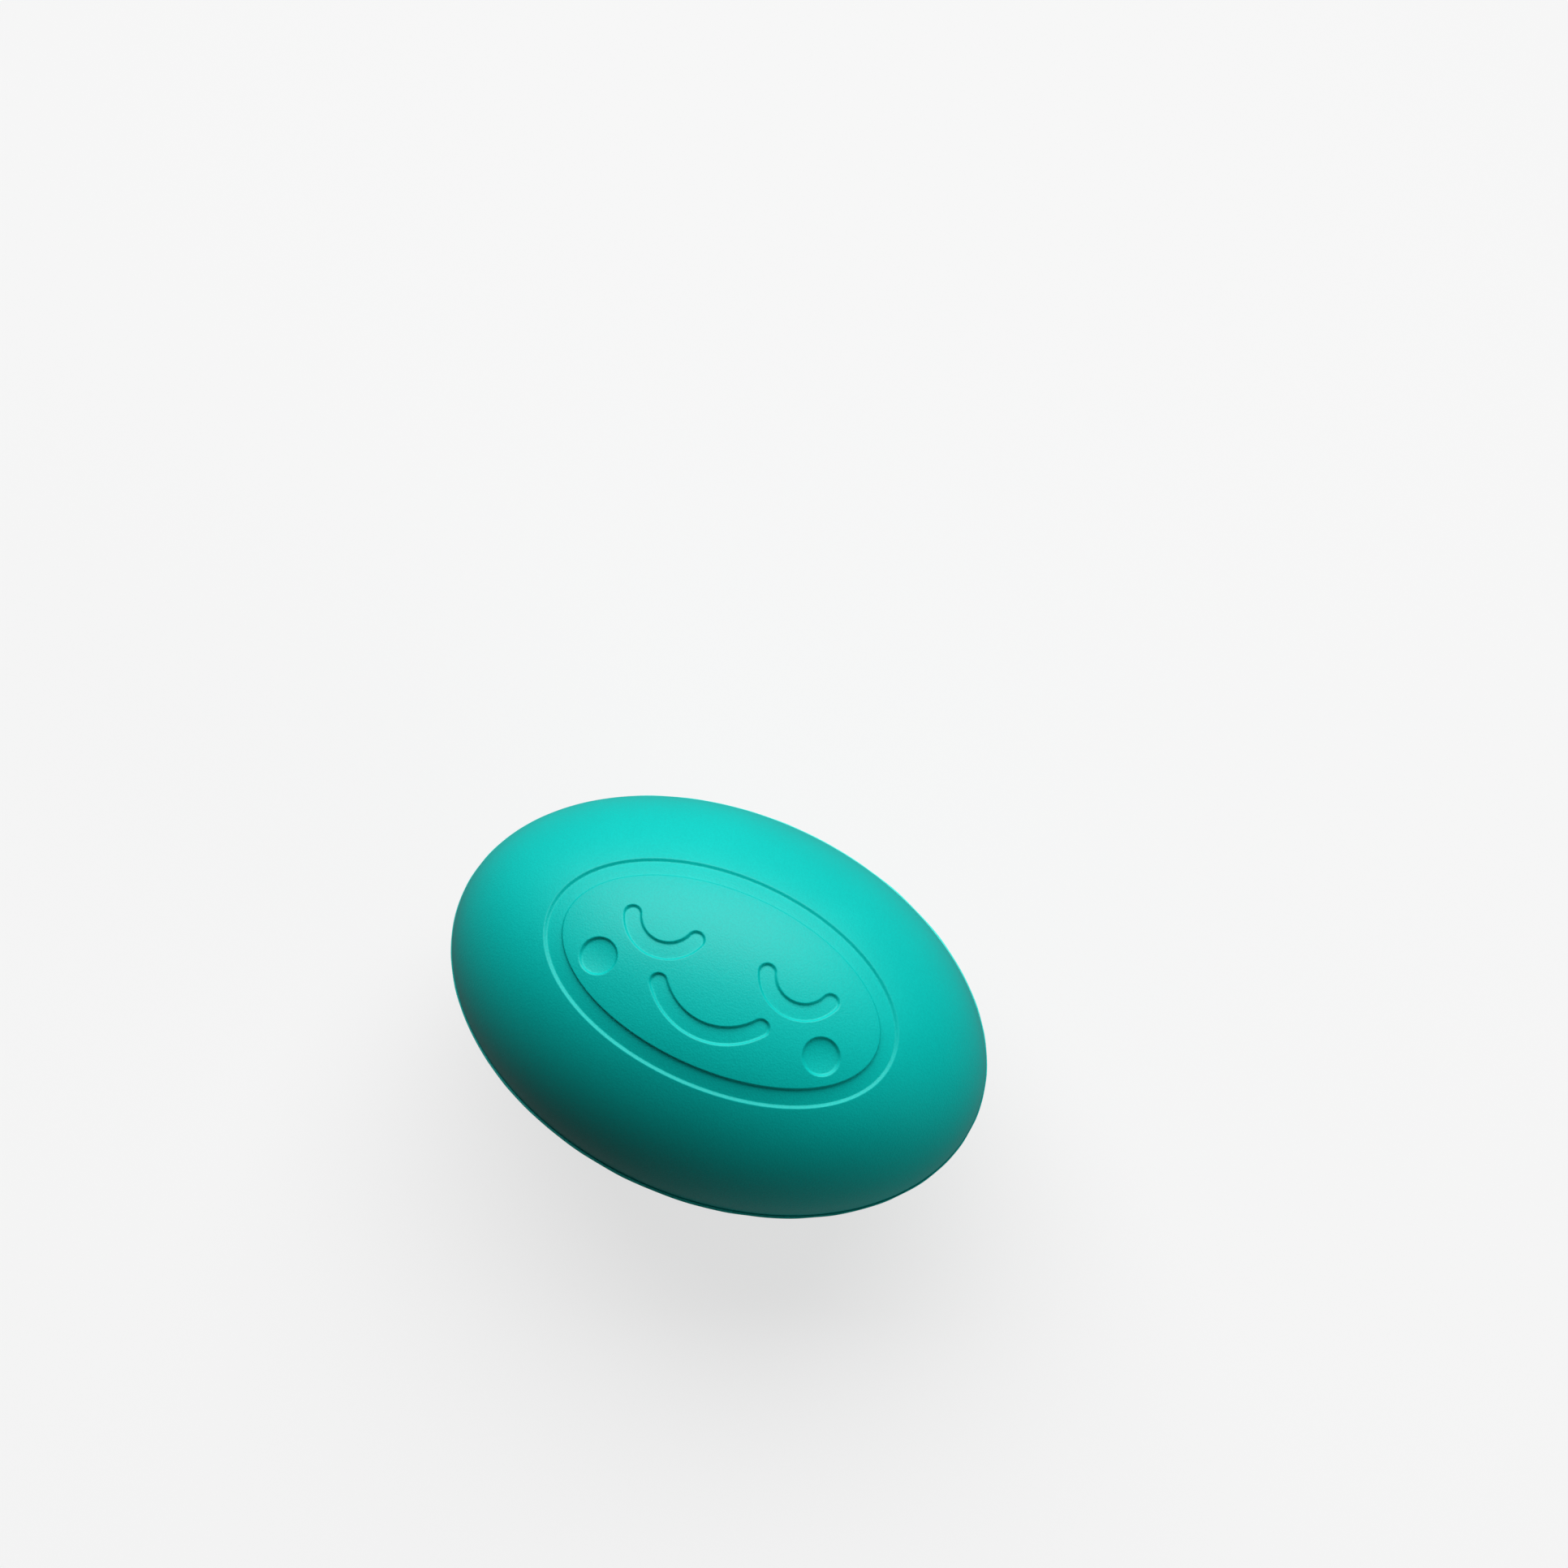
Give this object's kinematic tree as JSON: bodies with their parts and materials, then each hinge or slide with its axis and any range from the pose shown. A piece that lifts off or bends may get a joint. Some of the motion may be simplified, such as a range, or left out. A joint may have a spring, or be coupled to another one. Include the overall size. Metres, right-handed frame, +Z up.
{
  "type": "stress ball",
  "caption": "Oval soft-foam stress ball for squeezing in one hand, with a moulded skin, a parting line round the middle and a sunk line relief on the front.",
  "frame": {"origin": "on the table, under the middle of the ball as it lies on its back", "axes": "+Z up, out of the front with the relief; +X along the ball's long axis; +Y is the relief's upward direction"},
  "size_m": [0.1006, 0.0706, 0.0688],
  "materials": {
    "skin": "satin teal skin of moulded polyurethane foam, very finely grained",
    "foam": "pale teal open-cell polyurethane foam, matt"
  },
  "bodies": {
    "back_half": {"back_skin": "skin", "foam_core": "foam"},
    "rim": {"parting_flash": "skin"},
    "front_half": {"front_skin": "skin"}
  },
  "joints": [
    {"name": "squeeze", "type": "slide", "parent": "back_half", "child": "front_half", "axis": [0, 0, -1], "range_m": [0, 0.024], "stiffness_N_per_m": 3000, "deforming": ["front_skin", "back_skin", "foam_core"]},
    {"name": "rim_follow", "type": "slide", "parent": "back_half", "child": "rim", "axis": [0, 0, -1], "range_m": [0, 0.012]}
  ],
  "couplings": [
    {"joint": "rim_follow", "follows": "squeeze", "ratio": 0.5}
  ]
}
